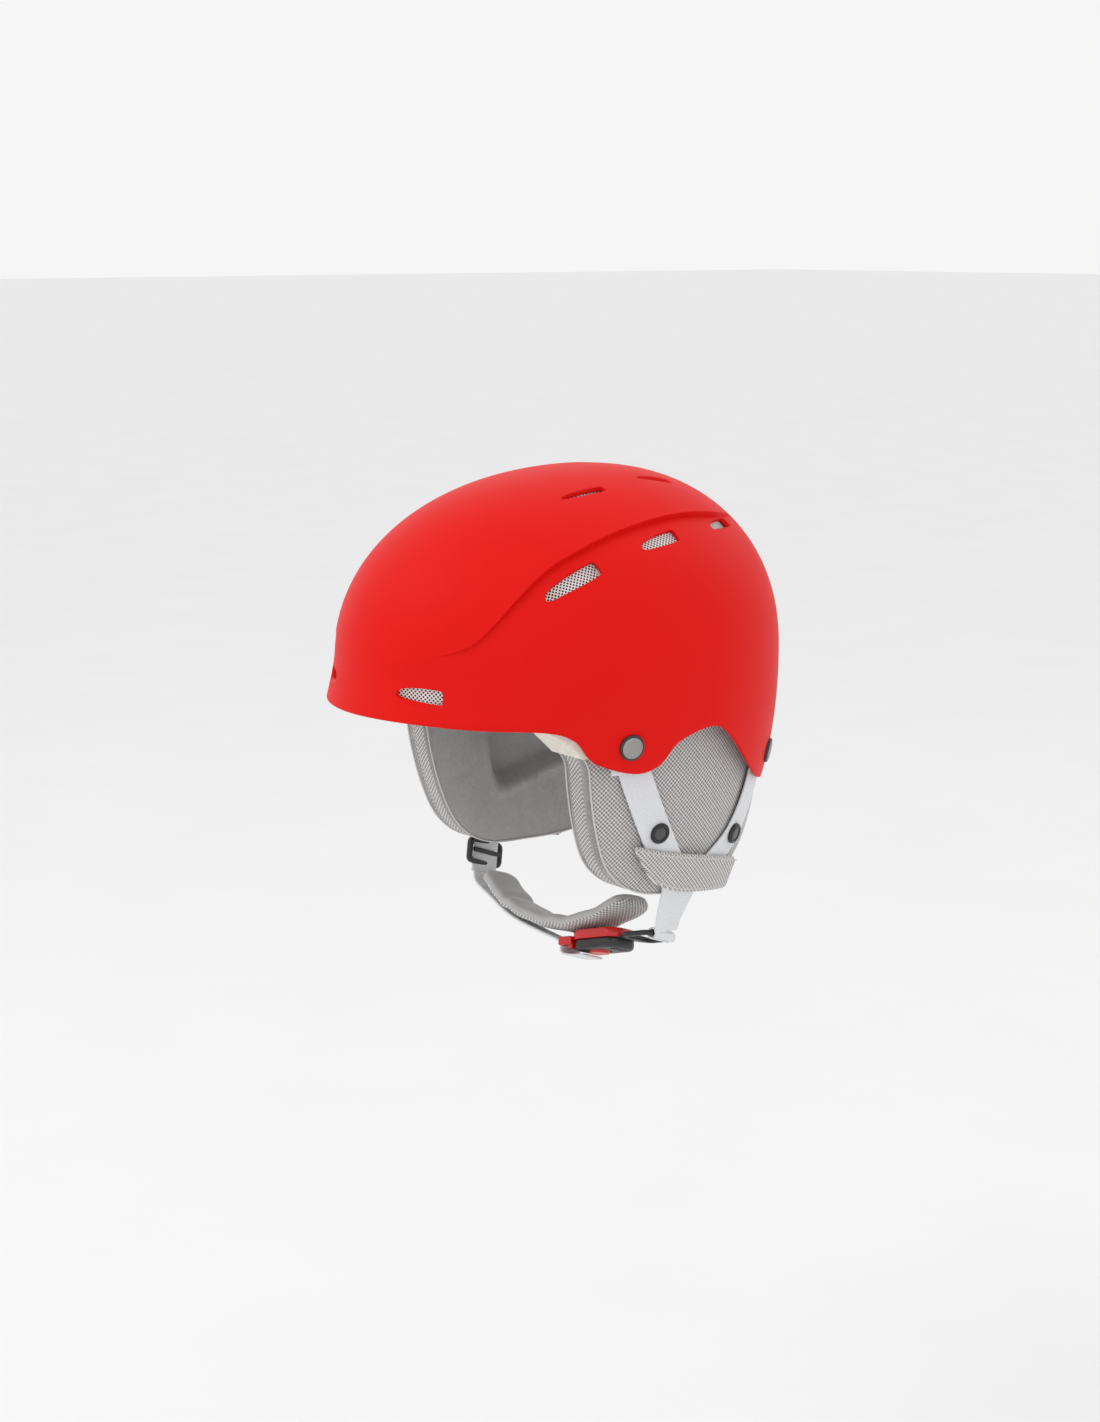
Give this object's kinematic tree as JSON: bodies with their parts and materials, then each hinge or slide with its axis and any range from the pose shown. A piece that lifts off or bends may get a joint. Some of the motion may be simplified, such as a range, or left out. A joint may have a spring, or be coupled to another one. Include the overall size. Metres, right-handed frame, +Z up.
{
  "type": "ski helmet",
  "caption": "Ski helmet with hard shell, foam liner, flaring ear pads, rear fit dial and a padded chin strap with a push-button buckle.",
  "frame": {"origin": "on the mid-plane, level with the shell's widest place and half way along the shell; where the wearer's head is centred", "axes": "+Z up through the crown, -Y the way the wearer faces, +X to the wearer's left"},
  "size_m": [0.224, 0.2924, 0.2954],
  "materials": {
    "shell_red": "matt soft-touch",
    "grille_white": "matt",
    "eps": "bead foam",
    "comfort": "brushed knit",
    "rivet_metal": "satin",
    "washer_metal": "satin",
    "webbing": "woven webbing",
    "mesh_cloth": "spacer mesh",
    "foam": "open-cell foam",
    "fleece": "brushed fleece",
    "black_plastic": "fine texture",
    "dark_plastic": "fine texture",
    "red_plastic": "satin gloss",
    "spring_steel": "bright"
  },
  "bodies": {
    "helmet": {"outer_shell": "shell_red", "front_vent_grilles": "grille_white", "crown_vent_grilles": "grille_white", "side_vent_grilles": "grille_white", "foam_liner": "eps", "brow_pad": "comfort", "crown_pad": "comfort", "left_side_pad": "comfort", "right_side_pad": "comfort", "nape_pad": "comfort", "strap_rivets": "rivet_metal", "rivet_washers": "washer_metal", "goggle_clip_rivets": "washer_metal", "goggle_clip_pin": "washer_metal", "left_strap_tabs": "webbing", "left_ear_collar": "mesh_cloth", "left_fit_band": "black_plastic", "right_strap_tabs": "webbing", "right_ear_collar": "mesh_cloth", "right_fit_band": "black_plastic", "goggle_clip_base": "black_plastic"},
    "ear_left": {"left_ear_cover": "mesh_cloth", "left_ear_foam": "foam", "left_ear_lining": "fleece", "left_front_strap": "webbing", "left_rear_strap": "webbing", "left_strap_sleeve": "mesh_cloth", "left_snaps": "black_plastic", "left_yoke": "webbing", "buckle_tongue": "black_plastic"},
    "ear_right": {"right_ear_cover": "mesh_cloth", "right_ear_foam": "foam", "right_ear_lining": "fleece", "right_front_strap": "webbing", "right_rear_strap": "webbing", "right_strap_sleeve": "mesh_cloth", "right_snaps": "black_plastic", "right_yoke": "webbing"},
    "chin_strap": {"chin_webbing": "webbing", "chin_pad_cover": "fleece", "chin_pad_foam": "foam", "buckle_base": "red_plastic", "buckle_cover": "dark_plastic", "buckle_spring": "spring_steel", "webbing_end_fold": "webbing"},
    "buckle_button": {"buckle_button": "red_plastic"},
    "ladder_lock": {"ladder_lock": "black_plastic"},
    "fit_cradle": {"fit_cradle": "dark_plastic", "dial_housing": "dark_plastic", "dial_axle": "dark_plastic", "occiput_pad": "comfort"},
    "fit_dial": {"dial_knob": "dark_plastic"},
    "goggle_clip": {"goggle_clip": "black_plastic"}
  },
  "joints": [
    {"name": "ear_left_flare", "type": "hinge", "parent": "helmet", "child": "ear_left", "pos_m": [0.098, 0.02, -0.061], "axis": [0, -0.9781, 0.2083], "range_deg": [0, 15], "stiffness_Nm_per_rad": 1.2},
    {"name": "ear_right_flare", "type": "hinge", "parent": "helmet", "child": "ear_right", "pos_m": [-0.098, 0.02, -0.061], "axis": [0, 0.9781, -0.2083], "range_deg": [0, 15], "stiffness_Nm_per_rad": 1.2},
    {"name": "chin_strap_release", "type": "slide", "parent": "ear_right", "child": "chin_strap", "axis": [-0.9431, -0.1925, -0.2711], "range_m": [0, 0.012]},
    {"name": "buckle_button_press", "type": "slide", "parent": "chin_strap", "child": "buckle_button", "axis": [-0.3225, 0.3314, 0.8867], "range_m": [0, 0.0016], "stiffness_N_per_m": 900, "deforming": ["buckle_spring"]},
    {"name": "ladder_lock_slide", "type": "slide", "parent": "ear_right", "child": "ladder_lock", "axis": [0.2917, -0.3375, -0.895], "range_m": [0, 0.005]},
    {"name": "fit_cradle_slide", "type": "slide", "parent": "helmet", "child": "fit_cradle", "axis": [0, -1, 0], "range_m": [0, 0.008]},
    {"name": "fit_dial_turn", "type": "hinge", "parent": "fit_cradle", "child": "fit_dial", "pos_m": [0, 0.105, -0.072], "axis": [0, 1, 0], "range_deg": [0, 360]},
    {"name": "goggle_clip_open", "type": "hinge", "parent": "helmet", "child": "goggle_clip", "pos_m": [0, 0.1452, 0.009], "axis": [1, 0, 0], "range_deg": [0, 70]}
  ],
  "couplings": [
    {"joint": "fit_dial_turn", "follows": "fit_cradle_slide", "rad_per_m": 785.4}
  ]
}
